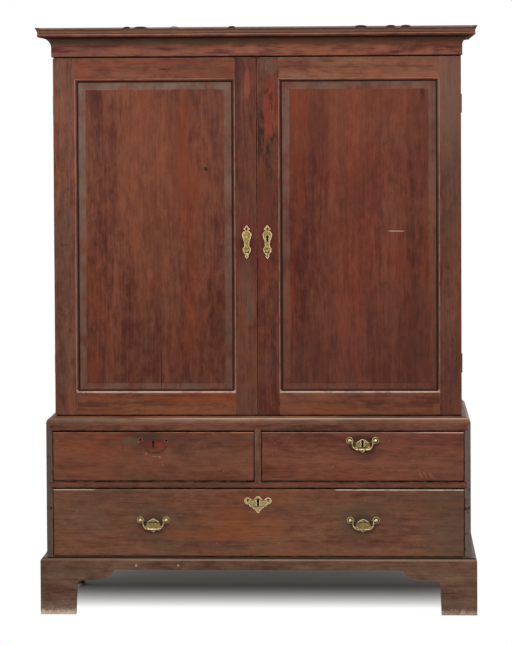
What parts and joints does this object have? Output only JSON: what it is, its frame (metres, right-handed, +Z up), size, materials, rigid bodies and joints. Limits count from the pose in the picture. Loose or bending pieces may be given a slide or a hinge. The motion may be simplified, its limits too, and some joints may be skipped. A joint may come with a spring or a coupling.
{
  "type": "linen press",
  "caption": "Mahogany linen press: a cupboard with fielded-panel doors and linen trays inside, above a chest of short and long drawers on bracket feet.",
  "frame": {"origin": "on the floor, in the middle of the press's width and depth", "axes": "+X to the right of someone who faces the press, -Y its front, +Z up"},
  "size_m": [1.446, 0.614, 1.935],
  "materials": {
    "mahogany": "old polish, worn",
    "pine": "bare",
    "oak": "bare",
    "brass": "tarnished",
    "steel": "dull"
  },
  "bodies": {
    "case": {"upper_side_left": "mahogany", "upper_side_right": "mahogany", "cornice_moulding": "mahogany", "lower_side_left": "mahogany", "lower_side_right": "mahogany", "waist_moulding": "mahogany", "drawer_rail_top": "mahogany", "drawer_rail_middle": "mahogany", "drawer_divider": "mahogany", "base_moulding": "mahogany", "front_feet": "mahogany", "rear_feet": "mahogany", "upper_top_board": "pine", "upper_bottom_board": "pine", "upper_back_boards": "pine", "cornice_frame": "pine", "lower_top_board": "pine", "dust_board": "pine", "lower_bottom_board": "pine", "lower_back_boards": "pine", "drawer_guides": "pine", "foot_blocks": "pine", "tray_runners": "oak", "linen_trays": "oak", "case_hinge_leaves": "brass"},
    "left_door": {"left_door_hinge_stile": "mahogany", "left_door_meeting_stile": "mahogany", "left_door_top_rail": "mahogany", "left_door_bottom_rail": "mahogany", "left_door_panel": "mahogany", "left_door_escutcheon": "brass", "left_door_hinge_leaves": "brass"},
    "right_door": {"right_door_hinge_stile": "mahogany", "right_door_meeting_stile": "mahogany", "right_door_top_rail": "mahogany", "right_door_bottom_rail": "mahogany", "right_door_panel": "mahogany", "right_door_escutcheon": "brass", "right_door_hinge_leaves": "brass", "right_door_lock": "steel"},
    "top_bolt": {"left_door_bolt_top": "brass"},
    "bottom_bolt": {"left_door_bolt_bottom": "brass"},
    "door_lock_bolt": {"right_door_lock_bolt": "steel"},
    "short_drawer_left": {"short_drawer_left_front": "mahogany", "short_drawer_left_box": "oak", "short_drawer_left_lock": "steel"},
    "short_drawer_right": {"short_drawer_right_front": "mahogany", "short_drawer_right_box": "oak", "short_drawer_right_lock": "steel", "short_drawer_right_handle": "brass"},
    "long_drawer": {"long_drawer_front": "mahogany", "long_drawer_box": "oak", "long_drawer_lock": "steel", "long_drawer_handles": "brass"},
    "short_left_lock_bolt": {"short_drawer_left_lock_bolt": "steel"},
    "short_right_lock_bolt": {"short_drawer_right_lock_bolt": "steel"},
    "long_lock_bolt": {"long_drawer_lock_bolt": "steel"},
    "short_bail": {"short_drawer_right_bail": "brass"},
    "long_bail_left": {"long_drawer_bail_left": "brass"},
    "long_bail_right": {"long_drawer_bail_right": "brass"}
  },
  "joints": [
    {"name": "left_door_hinge", "type": "hinge", "parent": "case", "child": "left_door", "pos_m": [-0.6713, -0.2305, 1.2435], "axis": [0, 0, 1], "range_deg": [-180, 0]},
    {"name": "right_door_hinge", "type": "hinge", "parent": "case", "child": "right_door", "pos_m": [0.6713, -0.2305, 1.2435], "axis": [0, 0, 1], "range_deg": [0, 180]},
    {"name": "top_bolt_slide", "type": "slide", "parent": "left_door", "child": "top_bolt", "axis": [0, 0, 1], "range_m": [0, 0.011]},
    {"name": "bottom_bolt_slide", "type": "slide", "parent": "left_door", "child": "bottom_bolt", "axis": [0, 0, -1], "range_m": [0, 0.011]},
    {"name": "door_lock_bolt_slide", "type": "slide", "parent": "right_door", "child": "door_lock_bolt", "axis": [-1, 0, 0], "range_m": [0, 0.009]},
    {"name": "short_drawer_left_slide", "type": "slide", "parent": "case", "child": "short_drawer_left", "axis": [0, -1, 0], "range_m": [0, 0.43]},
    {"name": "short_drawer_right_slide", "type": "slide", "parent": "case", "child": "short_drawer_right", "axis": [0, -1, 0], "range_m": [0, 0.43]},
    {"name": "long_drawer_slide", "type": "slide", "parent": "case", "child": "long_drawer", "axis": [0, -1, 0], "range_m": [0, 0.43]},
    {"name": "short_left_lock_bolt_slide", "type": "slide", "parent": "short_drawer_left", "child": "short_left_lock_bolt", "axis": [0, 0, 1], "range_m": [0, 0.009]},
    {"name": "short_right_lock_bolt_slide", "type": "slide", "parent": "short_drawer_right", "child": "short_right_lock_bolt", "axis": [0, 0, 1], "range_m": [0, 0.009]},
    {"name": "long_lock_bolt_slide", "type": "slide", "parent": "long_drawer", "child": "long_lock_bolt", "axis": [0, 0, 1], "range_m": [0, 0.009]},
    {"name": "short_bail_swing", "type": "hinge", "parent": "short_drawer_right", "child": "short_bail", "pos_m": [0.34475, -0.294, 0.574], "axis": [-1, 0, 0], "range_deg": [0, 150]},
    {"name": "long_bail_left_swing", "type": "hinge", "parent": "long_drawer", "child": "long_bail_left", "pos_m": [-0.346, -0.294, 0.3105], "axis": [-1, 0, 0], "range_deg": [0, 150]},
    {"name": "long_bail_right_swing", "type": "hinge", "parent": "long_drawer", "child": "long_bail_right", "pos_m": [0.346, -0.294, 0.3105], "axis": [-1, 0, 0], "range_deg": [0, 150]}
  ]
}
